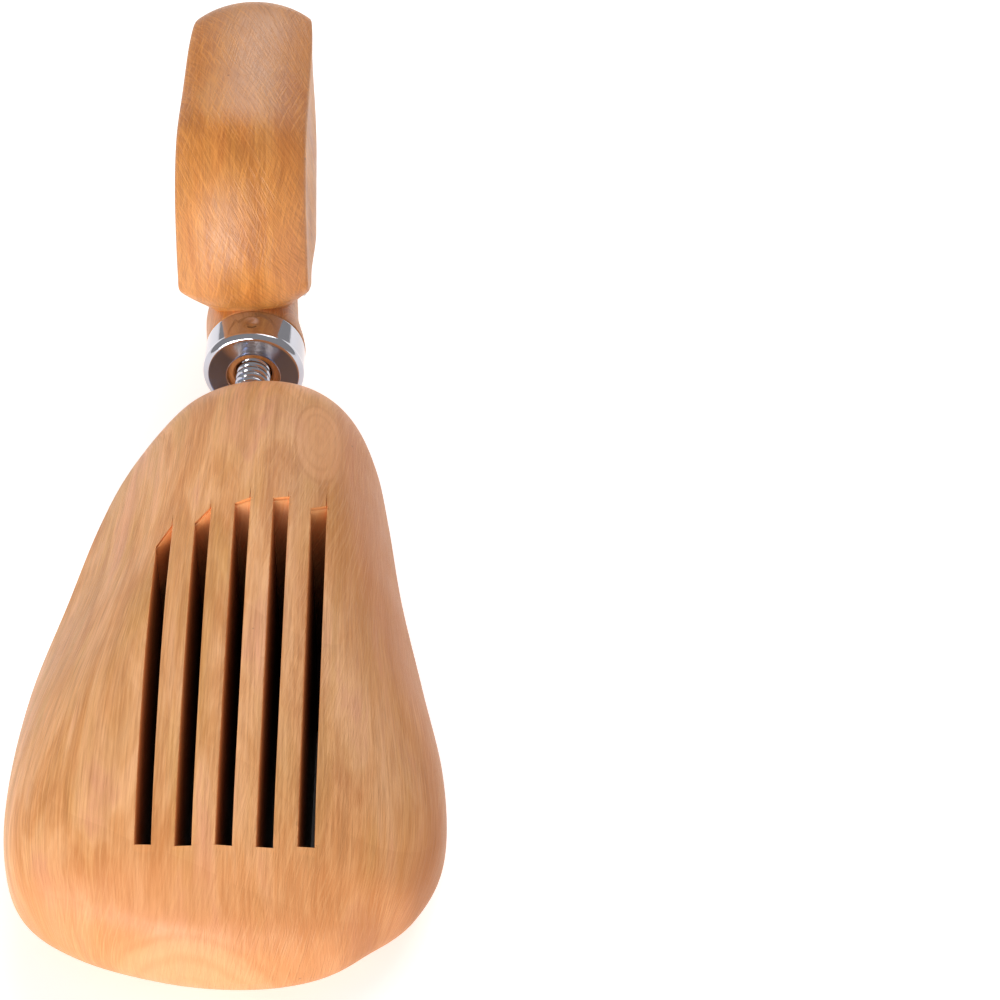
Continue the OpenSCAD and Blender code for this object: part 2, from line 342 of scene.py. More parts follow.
def forefoot_skin(co):
    """The crown as seen from above, with the flanks and both ends unrolled outwards from it."""
    x, y, z = co.T
    level = np.interp(y, (-33, 0, 25, 72), (33.5, 42.7, 47.8, 53))
    drop = smooth_max(level - z - 5, 0, 3)
    toe, rear = smooth_step((-30 - y) / 18), smooth_step((y - 85) / 18)
    side = np.tanh((x - np.interp(y, RUN[:, 0], RUN[:, 1:3].mean(1))) / 12)
    return np.stack([x + side * (1 - toe) * (1 - rear) * drop, y + (rear - toe) * drop, 0 * x], 1)


def vent_depth(co):
    """How deep points lie in the vents, in mm below the crown."""
    aside = np.min([np.abs(co[:, 0] - vent_middle(k, co[:, 1])) for k in range(VENT_COUNT)], axis=0)
    inside = (aside < VENT_W / 2 + 0.03) & (np.abs(co[:, 1] - BLADE_Y) < BLADE_R + 1)
    deep = np.zeros(len(co))
    for i in np.flatnonzero(inside & (co[:, 2] > 0.5)):
        deep[i] = max(0, crown_z(co[i, 0], co[i, 1]) - co[i, 2])
    return np.where(inside & (co[:, 2] <= 0.5), DEEPEST, deep)


# ---------- heel block ----------

# Side outline on the middle plane, from the nose over the top: y, z, and the crown of the rim there
HEEL_OUTLINE = [
    [127.5, 46.3, 0.7], [124.8, 53, 0.9], [126.2, 63, 1], [131, 75, 1], [138, 84, 1],
    [147.5, 89.7, 1], [163, 92.2, 1], [178, 94.3, 0.9], [189.5, 93.3, 0.7], [198, 86.5, 0.75],
    [203.5, 71, 0.9], [206, 48, 1], [205.5, 26, 1.1], [201, 9, 1.2], [191, -0.5, 1.4], [179, 0, 1.6],
    [164, 10, 1.9], [148, 24, 1.9], [136, 36.5, 1.3],
]
HEEL_MID = np.array([160, 56])
HEEL_NOSE = np.array([127, 46])
HEEL_X, HEEL_HALF, HEEL_CROWN = -2.2, 15.7, 6.4
HEEL_TAPER, HEEL_TURN = 0.0006, 0.024
FOOT_TAPER, FOOT_START, FOOT_ANGLE = 0.009, 12, math.radians(41.5)
SIDE_BULGE = 1.2
NECK_LEAN = 1.4
FOOT_Z = 0.4
RIM_ROUND, RIM_ARC = 0.7, 75
# The rings of the flat sides, as shares of the way out from HEEL_MID
SIDE_SHARES = [0.985, 0.97, 0.95, 0.92, 0.89, 0.85, 0.8, 0.75, 0.7, 0.65, 0.6, 0.55, 0.5, 0.45, 0.4, 0.3,
               0.2, 0.08]


def heel_width(y, z):
    """The block's middle line and its share of the full width at a place on the side outline."""
    back = y - HEEL_NOSE[0]
    away = back * math.cos(FOOT_ANGLE) - (z - HEEL_NOSE[1]) * math.sin(FOOT_ANGLE)
    share = (1 - HEEL_TAPER * back) * (1 - FOOT_TAPER * smooth_max(away - FOOT_START, 0, 3))
    return HEEL_X + HEEL_TURN * back, share


def heel_point(x, loop):
    """Places a side outline at side distance x, with the block's tapers and turn."""
    middle, share = heel_width(loop[:, 0], loop[:, 1])
    return np.stack([middle + x * share, loop[:, 0], smooth_max(loop[:, 1], FOOT_Z, 0.7)], 1)


def heel_rings():
    """The block's rings from one flat side to the other: side, crowned rim, side."""
    loop = closed_run(HEEL_OUTLINE, 12)
    along = np.roll(loop, -1, 0)[:, :2] - np.roll(loop, 1, 0)[:, :2]
    along /= np.linalg.norm(along, axis=1)[:, None]
    inward = np.stack([along[:, 1], -along[:, 0]], 1) * loop[:, 2:3]
    round_r = (HEEL_HALF ** 2 + HEEL_CROWN ** 2) / (2 * HEEL_CROWN)

    def drop(x):
        return round_r - math.sqrt(round_r ** 2 - x * x)

    half = []
    for a in np.linspace(0, RIM_ARC, 25):
        x = math.sin(math.radians(a)) / math.sin(math.radians(RIM_ARC)) * (HEEL_HALF - RIM_ROUND)
        half.append((x, loop[:, :2] + drop(x) * inward))
    start = np.array([HEEL_HALF - RIM_ROUND, drop(HEEL_HALF - RIM_ROUND)])
    corner = np.array([HEEL_HALF, HEEL_CROWN])
    end = np.array([HEEL_HALF, HEEL_CROWN + RIM_ROUND])
    for t in (0.2, 0.4, 0.6, 0.8, 1):
        x, d = (1 - t) ** 2 * start + 2 * t * (1 - t) * corner + t * t * end
        half.append((x, loop[:, :2] + d * inward))
    edge = loop[:, :2] + (HEEL_CROWN + RIM_ROUND) * inward
    for s in SIDE_SHARES:
        swell = SIDE_BULGE * smooth_step((0.93 - s) / 0.55)
        half.append((HEEL_HALF + swell, HEEL_MID + (edge - HEEL_MID) * s))
    whole = [(-x, ring) for x, ring in half[:0:-1]] + half
    return [heel_point(x, ring) for x, ring in whole]


# Stake dents: how many, how far behind the ferrule's front, how deep in the neck, and the radius of the ball
# that cuts them there
DENTS, DENT_BACK, DENT_DEPTH, DENT_BALL = 3, 5.5, 0.7, 4.82
SHEET = 0.8
NECK_LEN, BORE_R = 24, 4.45


def dent_places():
    """The dents' directions about the axis, as angles from +X, one of them on top."""
    return [math.pi / 2 + k * 2 * math.pi / DENTS for k in range(DENTS)]


def ball(radius, centre):
    made = bmesh.new()
    bmesh.ops.create_icosphere(made, subdivisions=4, radius=radius * MM)
    mesh = bpy.data.meshes.new("ball")
    made.to_mesh(mesh)
    made.free()
    mesh.transform(Matrix.Translation(Vector(centre) * MM))
    piece = bpy.data.objects.new("ball", mesh)
    bpy.context.scene.collection.objects.link(piece)
    return piece


def cross_bar(name, radius, y, x0, x1, segments=48):
    """A round bar across the spindle's line."""
    turn = np.linspace(0, 2 * math.pi, segments, endpoint=False)
    return loft(name, [[(x, y + radius * math.cos(t), AXIS_Z + radius * math.sin(t)) for t in turn]
                       for x in (x0, x1)])


def make_heel():
    piece = loft("heel_wood", heel_rings())
    tenon_r, neck_r = FERRULE_R - SHEET - 0.05, FERRULE_R - 0.15
    front, shoulder = FERRULE_Y + SHEET + 0.1, FERRULE_HIGH[1] + 0.02
    profile = [(0.01, front), (BORE_R + 0.2, front), (tenon_r - 0.5, front), (tenon_r, front + 0.5)]
    profile += [(tenon_r, y) for y in np.linspace(front + 1, shoulder, 12)]
    profile += [(neck_r - 0.4, shoulder), (neck_r, shoulder + 0.4)]
    profile += [(neck_r - 1.7 * t, shoulder + 0.4 + (NECK_LEN - 0.4) * t) for t in np.linspace(0.05, 1, 14)]
    profile += [(0.01, shoulder + NECK_LEN)]
    neck = lathe("neck", profile, 128)
    for point in neck.data.vertices:
        point.co.x -= NECK_LEAN * MM * float(smooth_step((point.co.y / MM - shoulder) / 12))
    for a in dent_places():
        out = FERRULE_R + 4 - DENT_DEPTH
        centre = (out * math.cos(a), FERRULE_Y + DENT_BACK, AXIS_Z + out * math.sin(a))
        combine(neck, ball(DENT_BALL, centre), "DIFFERENCE")
    combine(piece, neck, "UNION")
    bore = [(BORE_R + 0.5, front - 2), (BORE_R + 0.5, front), (BORE_R, front + 0.5),
            (BORE_R, SEAT_HIGH[1] + 0.05)]
    combine(piece, lathe("bore", bore, 64), "DIFFERENCE")
    combine(piece, cross_bar("pin_hole", PIN_R + 0.02, PIN_Y, -60, 60), "DIFFERENCE")
    fill_box(piece, "heel_block")
    mark_surface(piece, heel_skin, lambda co: np.zeros(len(co)))
    return soften(piece)


def heel_skin(co):
    """The rim unrolled to its length round the outline, and the flat sides as they are."""
    loop = closed_run(HEEL_OUTLINE, 12)[:, :2]
    length = np.concatenate([[0], np.cumsum(np.linalg.norm(np.diff(loop, axis=0), axis=1))])
    away = loop - HEEL_MID
    turn = -np.unwrap(np.arctan2(away[:, 1], away[:, 0]))
    at = -np.arctan2(co[:, 2] - HEEL_MID[1], co[:, 1] - HEEL_MID[0])
    at = turn[0] + (at - turn[0]) % (2 * math.pi)
    along = np.interp(at, turn, length)
    middle, share = heel_width(co[:, 1], co[:, 2])
    rim = np.abs(co[:, 0] - middle) < (HEEL_HALF - 0.15) * share
    side = np.stack([co[:, 1] + 300, co[:, 2], 0 * along], 1)
    return np.where(rim[:, None], np.stack([co[:, 0], along, 0 * along], 1), side)


# ---------- spindle line ----------

PITCH, THREAD_DEEP, THREAD_END = 2.0, 0.95, 134


def make_spindle():
    """Round thread at the front, plain shank with its pin slot at the rear."""
    around = 64
    turn = np.linspace(0, 2 * math.pi, around, endpoint=False)
    front, rear = SPINDLE_LOW[1], SPINDLE_HIGH[1]
    rings = []
    stations = [[front, front + 0.2], np.arange(front + 0.4, THREAD_END, 0.2),
                np.arange(THREAD_END, rear - 0.5, 1.5), [rear - 0.5, rear - 0.25, rear]]
    for y in np.concatenate(stations):
        depth = THREAD_DEEP * smooth_step((THREAD_END - y) / 3)
        phase = y / PITCH * 2 * math.pi - turn
        valley = (0.5 - 0.5 * np.cos(phase)) ** 1.8
        r = SPINDLE_R - depth * valley
        bevel = max(0, 1 - (y - front) / 1.2, 1 - (rear - y) / 0.5)
        r = np.minimum(r, SPINDLE_R - 0.9 * bevel * (1 if y < THREAD_END else 0.5))
        rings.append(np.stack([r * np.cos(turn), np.full(around, y), AXIS_Z + r * np.sin(turn)], 1))
    piece = loft("spindle_thread", rings)
    travel = frame_travel()
    slot_r = PIN_R + 0.05
    bend = np.linspace(-math.pi / 2, math.pi / 2, 17)
    outline = [(PIN_Y + slot_r * math.cos(a), AXIS_Z + slot_r * math.sin(a)) for a in bend]
    outline += [(PIN_Y - travel - slot_r * math.cos(a), AXIS_Z - slot_r * math.sin(a)) for a in bend]
    combine(piece, loft("slot", [[(x, y, z) for y, z in outline] for x in (-9, 9)]), "DIFFERENCE")
    return soften(piece, 50)


def frame_travel():
    """How far the heel is pushed in against its spring, from the record."""
    joint = next(j for j in frame["joints"] if j["name"] == "spring_travel")
    return joint["range_m"][1] / MM


def make_insert():
    """The threaded sleeve, with a bevelled mouth and two spanner notches in its rear face."""
    outer = (INSERT_HIGH[2] - INSERT_LOW[2]) / 2
    inner = SPINDLE_R + 0.05
    low, high = INSERT_LOW[1], INSERT_HIGH[1]
    profile = [(inner, low), (outer - 0.5, low), (outer, low + 0.5), (outer, high - 0.4),
               (outer - 0.15, high - 0.1), (outer - 0.4, high), (inner + 0.7, high),
               (inner + 0.3, high - 0.15), (inner, high - 0.7)]
    piece = lathe("insert_sleeve", profile, 96, wrap=True)
    for side in (-1, 1):
        notch = loft("notch", [[(x, y, AXIS_Z + dz) for y, dz in ((high - 0.9, -0.8), (high + 1, -0.8),
                                                                (high + 1, 0.8), (high - 0.9, 0.8))]
                               for x in (side * (inner + 0.5), side * (outer + 1))])
        combine(piece, notch, "DIFFERENCE")
    return soften(piece, 30)


def disc(name, low, high, bevel=0.2):
    outer = (high[2] - low[2]) / 2
    profile = [(0.01, low[1]), (outer - bevel, low[1]), (outer, low[1] + bevel), (outer, high[1] - bevel),
               (outer - bevel, high[1]), (0.01, high[1])]
    return soften(lathe(name, profile, 64), 30)


def make_spring(turns=9, sides=12, steps=28, wire=0.5):
    """The compression spring, its first and last turns closed up."""
    y0, y1 = SPRING_LOW[1] + wire, SPRING_HIGH[1] - wire
    coil_r = (SPRING_HIGH[2] - SPRING_LOW[2]) / 2 - wire
    closed = 1.02 * 2 * wire
    middle = (y1 - y0 - 2 * closed) / (turns - 2)
    rings = []
    for i in range(turns * steps + 1):
        t = i / steps
        y = y0 + closed * min(t, 1) + middle * min(max(t - 1, 0), turns - 2) + closed * max(t - turns + 1, 0)
        a = 2 * math.pi * t
        ring = []
        for j in range(sides):
            b = 2 * math.pi * j / sides
            r = coil_r + wire * math.cos(b)
            ring.append((r * math.cos(a), y + wire * math.sin(b), AXIS_Z + r * math.sin(a)))
        rings.append(ring)
    return soften(loft("spring_coil", rings), 50)


def make_pin():
    bevel = 0.3
    turn = np.linspace(0, 2 * math.pi, 48, endpoint=False)
    stations = [(PIN_LOW[0], PIN_R - bevel), (PIN_LOW[0] + bevel, PIN_R),
                (PIN_HIGH[0] - bevel, PIN_R), (PIN_HIGH[0], PIN_R - bevel)]
    return soften(loft("pin_bar", [[(x, PIN_Y + q * math.cos(t), AXIS_Z + q * math.sin(t)) for t in turn]
                                   for x, q in stations]), 30)


# ---------- ferrule ----------

# The hole, the rolled front rim, and how far the wall stands inside the rim
HOLE_R, RIM_R, WALL_IN = 6.4, 1.6, 0.12


def make_ferrule():
    """A drawn cup with a rolled front rim, a flat front with a hole, and three stake dents."""
    front, rear, outer = FERRULE_Y, FERRULE_HIGH[1], FERRULE_R
    outside = [(HOLE_R + 0.25, front), (HOLE_R + 0.6, front)]
    outside += [(r, front) for r in np.linspace(HOLE_R + 1, outer - RIM_R - 0.2, 6)]
    outside += [(outer - RIM_R + RIM_R * math.sin(a), front + RIM_R - RIM_R * math.cos(a))
                for a in np.linspace(0.05, math.pi / 2, 14)]
    outside += [(outer - WALL_IN * smooth_step((y - front - RIM_R) / 0.8), y)
                for y in np.linspace(front + RIM_R + 0.2, rear - 0.3, 30)]
    outside += [(outer - WALL_IN - 0.08, rear - 0.1), (outer - WALL_IN - 0.25, rear)]
    inner = outer - SHEET
    inside = [(inner + 0.1, rear), (inner, rear - 0.2)]
    inside += [(inner, y) for y in np.linspace(rear - 0.4, front + RIM_R + 0.2, 30)]
    inside += [(inner, front + RIM_R), (outer - RIM_R, front + SHEET), (HOLE_R + 0.2, front + SHEET),
               (HOLE_R, front + SHEET - 0.2), (HOLE_R, front + 0.2), (HOLE_R + 0.08, front + 0.06)]
    piece = lathe("ferrule_cup", outside + inside, 256, wrap=True)
    co = np.array([v.co for v in piece.data.vertices]) / MM
    radial = np.hypot(co[:, 0], co[:, 2] - AXIS_Z)
    angle = np.arctan2(co[:, 2] - AXIS_Z, co[:, 0])
    for a in dent_places():
        off = (angle - a + math.pi) % (2 * math.pi) - math.pi
        away = np.hypot(off * outer, co[:, 1] - FERRULE_Y - DENT_BACK)
        dish = 0.66 * (1 - smooth_step((away - 0.4) / 2.1))
        dish = np.where(radial > inner - 0.5, dish, 0)
        radial = radial - np.where(co[:, 1] > front + RIM_R, dish, 0)
    co[:, 0], co[:, 2] = radial * np.cos(angle), AXIS_Z + radial * np.sin(angle)
    piece.data.vertices.foreach_set("co", (co * MM).astype(np.float32).ravel())
    piece.data.update()
    return soften(piece, 40)


# ---------- materials ----------

class Nodes:
    """Builds one material's nodes. Texture scales are per metre in the object's own coordinates."""

    def __init__(self, name):
        self.material = bpy.data.materials.new(name)
        self.material.use_nodes = True
        self.tree = self.material.node_tree
        self.shader = self.tree.nodes["Principled BSDF"]
        self.place = self.add("ShaderNodeTexCoord").outputs["Object"]

    def add(self, kind, **settings):
        node = self.tree.nodes.new(kind)
        for key, value in settings.items():
            setattr(node, key, value)
        return node

    def put(self, socket, value):
        if isinstance(value, bpy.types.NodeSocket):
            self.tree.links.new(value, socket)
        else:
            socket.default_value = value

    def stretch(self, direction, across, along):
        """Coordinates scaled by along in one direction and by across at right angles to it."""
        turn = Vector(direction).normalized().to_track_quat("Z", "Y").to_euler()
        node = self.add("ShaderNodeMapping", vector_type="TEXTURE")
        self.put(node.inputs["Vector"], self.place)
        node.inputs["Rotation"].default_value = turn
        node.inputs["Scale"].default_value = (1 / across, 1 / across, 1 / along)
        return node.outputs["Vector"]

    def along_skin(self, across, along, angle=90, shift=0):
        """The unrolled surface's coordinates, scaled by along at the angle and by across beside it."""
        skin = self.add("ShaderNodeAttribute", attribute_name="skin").outputs["Vector"]
        turn = self.add("ShaderNodeVectorRotate", rotation_type="Z_AXIS")
        self.put(turn.inputs["Vector"], skin)
        turn.inputs["Angle"].default_value = -math.radians(angle)
        size = self.add("ShaderNodeMapping")
        self.put(size.inputs["Vector"], turn.outputs["Vector"])
        size.inputs["Scale"].default_value = (along, across, 1)
        size.inputs["Location"].default_value = (shift, shift, 0)
        return size.outputs["Vector"]

    def noise(self, vector=None, scale=1.0, detail=3.0, rough=0.5, warp=0.0):
        node = self.add("ShaderNodeTexNoise")
        self.put(node.inputs["Vector"], vector or self.place)
        for key, value in (("Scale", scale), ("Detail", detail), ("Roughness", rough), ("Distortion", warp)):
            node.inputs[key].default_value = value
        return node.outputs["Fac"]

    def ramp(self, value, stops, colours=False):
        """Maps a value through (position, level) stops, or (position, colour) stops."""
        node = self.add("ShaderNodeValToRGB")
        self.put(node.inputs["Fac"], value)
        elements = node.color_ramp.elements
        while len(elements) < len(stops):
            elements.new(0.5)
        for element, (position, level) in zip(elements, stops):
            element.position = position
            element.color = (*level, 1) if colours else (level, level, level, 1)
        return node.outputs["Color"]

    def math(self, how, a, b=0.0):
        node = self.add("ShaderNodeMath", operation=how)
        self.put(node.inputs[0], a)
        self.put(node.inputs[1], b)
        return node.outputs[0]

    def mix(self, share, a, b):
        node = self.add("ShaderNodeMix", data_type="RGBA")
        self.put(node.inputs["Factor"], share)
        self.put(node.inputs["A"], a if isinstance(a, bpy.types.NodeSocket) else (*a, 1))
        self.put(node.inputs["B"], b if isinstance(b, bpy.types.NodeSocket) else (*b, 1))
        return node.outputs["Result"]

    def bump(self, height, distance, strength, below=None):
        node = self.add("ShaderNodeBump")
        self.put(node.inputs["Height"], height)
        node.inputs["Distance"].default_value = distance
        node.inputs["Strength"].default_value = strength
        if below:
            self.put(node.inputs["Normal"], below)
        return node.outputs["Normal"]

    def facing(self, direction):
        """How squarely the surface faces a direction, from -1 to 1."""
        node = self.add("ShaderNodeVectorMath", operation="DOT_PRODUCT")
        self.put(node.inputs[0], self.add("ShaderNodeTexCoord").outputs["Normal"])
        node.inputs[1].default_value = Vector(direction).normalized()
        return node.outputs["Value"]

    def away_from(self, middle, reach):
        """Distance from a point, as a share of the reach along each axis."""
        node = self.add("ShaderNodeMapping", vector_type="TEXTURE")
        self.put(node.inputs["Vector"], self.place)
        node.inputs["Location"].default_value = tuple(c * MM for c in middle)
        node.inputs["Scale"].default_value = tuple(c * MM for c in reach)
        length = self.add("ShaderNodeVectorMath", operation="LENGTH")
        self.put(length.inputs[0], node.outputs["Vector"])
        return length.outputs["Value"]

    def set(self, **values):
        for key, value in values.items():
            self.put(self.shader.inputs[key.replace("_", " ")], value)
        return self.material


# The last colour is painted shade, laid deep inside the vents.
# The middle colour is torn-fibre tone, made brighter as painted light on the vents' shaded upper walls.
FLECK, TORN_WOOD_AND_PAINTED_LIGHT, PAINTED_VENT_SHADE = (0.16, 0.06, 0.025), (0.92, 0.39, 0.14), (0.03, 0.012, 0.006)


def scratches(n, angle, across, along, threshold, patch_scale, shift):
    """Hairline sanding marks at an angle on the unrolled surface, in patches. 1 on a mark."""
    line = n.noise(n.along_skin(across, along, angle, shift), 1, 2, 0.5)
    line = n.ramp(line, [(threshold, 0), (threshold + 0.1, 1)])
    patch = n.noise(n.along_skin(patch_scale, patch_scale, 0, shift), 1, 1)
    return n.math("MULTIPLY", line, n.ramp(patch, [(0.36, 0.15), (0.6, 1)]))


def scaled(colour, share):
    """A colour times one share, or times a share for each channel."""
    shares = share if isinstance(share, tuple) else (share,) * 3
    return tuple(min(1, c * part) for c, part in zip(colour, shares))


def knot(n, colour, middle, reach, light, warm):
    """An oval patch of paler figure with nested growth lines."""
    away = n.math("ADD", n.away_from(middle, reach), n.math("MULTIPLY", n.noise(scale=60, detail=2), 0.22))
    pale = n.ramp(away, [(0.75, 0.5), (1.15, 0.0)])
    colour = n.mix(pale, colour, scaled(light, (1.02, 0.94, 0.98)))
    lines = n.math("PINGPONG", away, 0.11)
    fade = n.ramp(away, [(0.5, 0.15), (0.95, 0.45), (1.3, 0.0)])
    share = n.math("MULTIPLY", n.ramp(lines, [(0.01, 1.0), (0.06, 0.0)]), fade)
    return n.mix(share, colour, scaled(warm, 0.85))


def wood(name, light, middle, warm, pink, end_grain_and_painted_sheen_tone, painted_side_shade_tone, painted_side_shade, marks, mark_share, sheen,
         end_grain_and_painted_sheen_facing=(0, 1, 0), end_grain_and_painted_sheen_range=(0.3, 0.75), end_grain_and_painted_sheen_share=0.7, spots=()):
    """Sanded light hardwood: blotches, growth rings, lengthwise streaks, flecks and sanding marks.

    The side ramp paints shade onto the faces turned to +X. The end tone goes on faces turned to the given
    direction: real end grain on the forefoot, a painted sheen on the heel's top.
    Each of marks is an angle, the scales across and along the marks, and the scale of their patches.
    """
    n = Nodes(name)
    blotch = n.noise(n.along_skin(80, 20), 1, 4, 0.6, 0.9)
    colour = n.ramp(blotch, [(0.36, warm), (0.46, middle), (0.54, light), (0.64, pink)], colours=True)
    patch = n.ramp(n.noise(n.along_skin(100, 20, 92, 5), 1, 3, 0.5, 0.4), [(0.47, 0.0), (0.64, 0.6)])
    colour = n.mix(patch, colour, scaled(middle, (0.86, 0.94, 0.72)))
    rings = n.add("ShaderNodeTexWave", wave_type="RINGS", rings_direction="Y", wave_profile="SAW")
    shift = n.add("ShaderNodeMapping")
    n.put(shift.inputs["Vector"], n.place)
    shift.inputs["Location"].default_value = (0.03, 0.0, 0.09)
    shift.inputs["Rotation"].default_value = (0.12, 0, 0.05)
    n.put(rings.inputs["Vector"], shift.outputs["Vector"])
    for key, value in (("Scale", 26), ("Distortion", 2.2), ("Detail", 2), ("Detail Scale", 0.7)):
        rings.inputs[key].default_value = value
    ring_line = n.ramp(rings.outputs["Fac"], [(0.0, 0.0), (0.8, 0.15), (0.97, 1.0)])
    colour = n.mix(n.math("MULTIPLY", ring_line, 0.16), colour, scaled(warm, 0.8))
    streak = n.noise(n.along_skin(300, 14), 1, 5, 0.65)
    colour = n.mix(n.ramp(streak, [(0.45, 0.0), (0.72, 0.6)]), colour, scaled(warm, 0.74))
    fine = n.noise(n.along_skin(2000, 80), 1, 3, 0.6)
    colour = n.mix(n.ramp(fine, [(0.48, 0.0), (0.75, 0.5)]), colour, scaled(warm, 0.62))
    colour = n.mix(n.ramp(fine, [(0.25, 0.4), (0.48, 0.0)]), colour, scaled(light, 1.3))
    # End tone: real end grain on the forefoot's toe and rear. On the heel it greys the top faces as a painted
    # sheen.
    end = n.ramp(n.math("ABSOLUTE", n.facing(end_grain_and_painted_sheen_facing)), [(end_grain_and_painted_sheen_range[0], 0.0), (end_grain_and_painted_sheen_range[1], end_grain_and_painted_sheen_share)])
    colour = n.mix(end, colour, end_grain_and_painted_sheen_tone)
    # Painted shade: faces turned to +X are darkened to the side tone, as though the light came from the other
    # side.
    colour = n.mix(n.ramp(n.facing((1, 0, 0)), painted_side_shade), colour, painted_side_shade_tone)
    for middle_place, reach in spots:
        colour = knot(n, colour, middle_place, reach, light, warm)
    speck = n.add("ShaderNodeTexVoronoi", feature="F1")
    n.put(speck.inputs["Vector"], n.place)
    speck.inputs["Scale"].default_value = 75
    dot = n.ramp(speck.outputs["Distance"], [(0.018, 0.75), (0.03, 0.0)])
    colour = n.mix(dot, colour, FLECK)
    bright = dark = None
    for k, (angle, across, along, patch) in enumerate(marks):
        up = scratches(n, angle, across, along, 0.52, patch, 3 * k)
        down = scratches(n, angle + 4, across * 1.2, along, 0.53, patch, 3 * k + 11)
        bright = up if bright is None else n.math("MAXIMUM", bright, up)
        dark = down if dark is None else n.math("MAXIMUM", dark, down)
    colour = n.mix(n.math("MULTIPLY", bright, mark_share), colour, scaled(light, 1.35))
    colour = n.mix(n.math("MULTIPLY", dark, mark_share * 0.8), colour, scaled(warm, 0.6))
    deep = n.add("ShaderNodeAttribute", attribute_name="deep").outputs["Fac"]
    below = n.math("DIVIDE", deep, DEEPEST)
    # Torn-fibre tone with painted light: a pale orange band down the top 3 mm of the vents' walls, lighter
    # than their shade would leave them.
    torn = n.ramp(below, [(0.0, 0.0), (0.002, 0.75), (0.02, 0.7), (0.08, 0.0)])
    colour = n.mix(torn, colour, TORN_WOOD_AND_PAINTED_LIGHT)
    # Painted shade: the vents' walls darken towards black with depth, so the vents stay dark under any light.
    painted_vent_shade_mask = n.ramp(below, [(0.1, 0.0), (0.35, 0.3), (0.65, 0.8), (0.95, 0.96)])
    colour = n.mix(painted_vent_shade_mask, colour, PAINTED_VENT_SHADE)
    rough = n.ramp(n.noise(scale=60, detail=4), [(0.3, 0.36), (0.7, 0.48)])
    height = n.math("ADD", n.math("MULTIPLY", fine, 0.4), n.math("SUBTRACT", bright, dark))
    normal = n.bump(height, 0.00005, 0.7)
    normal = n.bump(n.noise(scale=45, detail=2), 0.0006, 0.3, normal)
    return n.set(Base_Color=colour, Roughness=rough, Normal=normal, Specular_IOR_Level=sheen)


def chrome(name, tint, rough, painted_spindle_reflection=None):
    """Polished plating with faint draw marks and wipe haze. The last argument, if given, is the tint of a
    painted reflection of the spindle, laid above the hole.
    """
    n = Nodes(name)
    haze = n.noise(scale=140, detail=5, rough=0.6)
    shade = n.mix(n.ramp(haze, [(0.35, 0.0), (0.75, 0.35)]), tint, scaled(tint, 0.86))
    # Painted reflection: a pale patch above the hole stands in for the spindle mirrored in the dark front
    # plate.
    if painted_spindle_reflection:
        away = n.away_from((0, FERRULE_Y, AXIS_Z + 11), (8, 8, 8))
        shade = n.mix(n.ramp(away, [(0.6, 1.0), (1.1, 0.0)]), shade, painted_spindle_reflection)
    line = n.noise(n.stretch((0.2, 1, 0.1), 3200, 90), 1, 2, 0.5)
    level = n.ramp(n.math("ADD", n.math("MULTIPLY", haze, 0.6), n.math("MULTIPLY", line, 0.4)),
                   [(0.35, rough * 0.7), (0.7, rough * 2.2)])
    return n.set(Base_Color=shade, Metallic=1.0, Roughness=level, Normal=n.bump(line, 0.00002, 0.25))


def steel(name, tint, rough):
    """Turned steel: fine rings round the spindle's line."""
    n = Nodes(name)
    line = n.noise(n.stretch((0, 0, 1), 5200, 700), 1, 3, 0.6)
    stain = n.noise(scale=180, detail=4)
    shade = n.mix(n.ramp(stain, [(0.4, 0.0), (0.8, 0.5)]), tint, scaled(tint, 0.7))
    level = n.ramp(line, [(0.3, rough * 0.75), (0.7, rough * 1.5)])
    return n.set(Base_Color=shade, Metallic=1.0, Roughness=level, Normal=n.bump(line, 0.00003, 0.4))


# ---------- build ----------

# The last tone of each set is painted shade for the faces turned to +X.
FOREFOOT_TONES = dict(light=(0.83, 0.425, 0.195), middle=(0.73, 0.335, 0.13), warm=(0.61, 0.245, 0.08),
                      pink=(0.79, 0.37, 0.20), end_grain_and_painted_sheen_tone=(0.60, 0.225, 0.08), painted_side_shade_tone=(0.50, 0.165, 0.045))
# In the heel's set, the second-last tone is a painted grey sheen for its top faces.
HEEL_TONES = dict(light=(0.64, 0.26, 0.055), middle=(0.57, 0.20, 0.033), warm=(0.47, 0.145, 0.019),
                  pink=(0.63, 0.25, 0.07), end_grain_and_painted_sheen_tone=(0.57, 0.28, 0.145), painted_side_shade_tone=(0.50, 0.145, 0.02))

WOODS = {
    "forefoot": wood("forefoot wood", **FOREFOOT_TONES,
                     marks=[(86, 2300, 60, 30), (74, 2000, 70, 26)], mark_share=0.15, sheen=0.25,
                     painted_side_shade=[(0.42, 0.0), (0.82, 0.8)],
                     spots=[((18.5, 73, 50), (7, 17, 25)), ((-5, -52, 4), (27, 17, 25))]),
    "heel": wood("heel wood", **HEEL_TONES,
                 marks=[(122, 2000, 75, 40), (112, 2300, 90, 55), (75, 2100, 90, 60)], mark_share=0.4,
                 # The heel's top faces take a painted sheen.
                 end_grain_and_painted_sheen_facing=(0, 0.1, 1), end_grain_and_painted_sheen_range=(0.83, 0.97), end_grain_and_painted_sheen_share=0.6, sheen=0.75,
                 painted_side_shade=[(0.25, 0.0), (0.55, 0.45), (0.8, 0.4), (0.95, 0.0)]),
}
CHROME = chrome("chrome plate", (0.53, 0.52, 0.565), 0.06)
# The front plate's dark blue-grey tint is a painted reflection of the shaded gap before it.
FERRULE_FACE_PAINTED_REFLECTION = chrome("ferrule front plate painted reflection", (0.185, 0.25, 0.42), 0.12, (0.75, 0.72, 0.70))
STEEL = steel("turned steel", (0.62, 0.62, 0.64), 0.28)
WIRE = steel("spring wire", (0.5, 0.5, 0.52), 0.22)

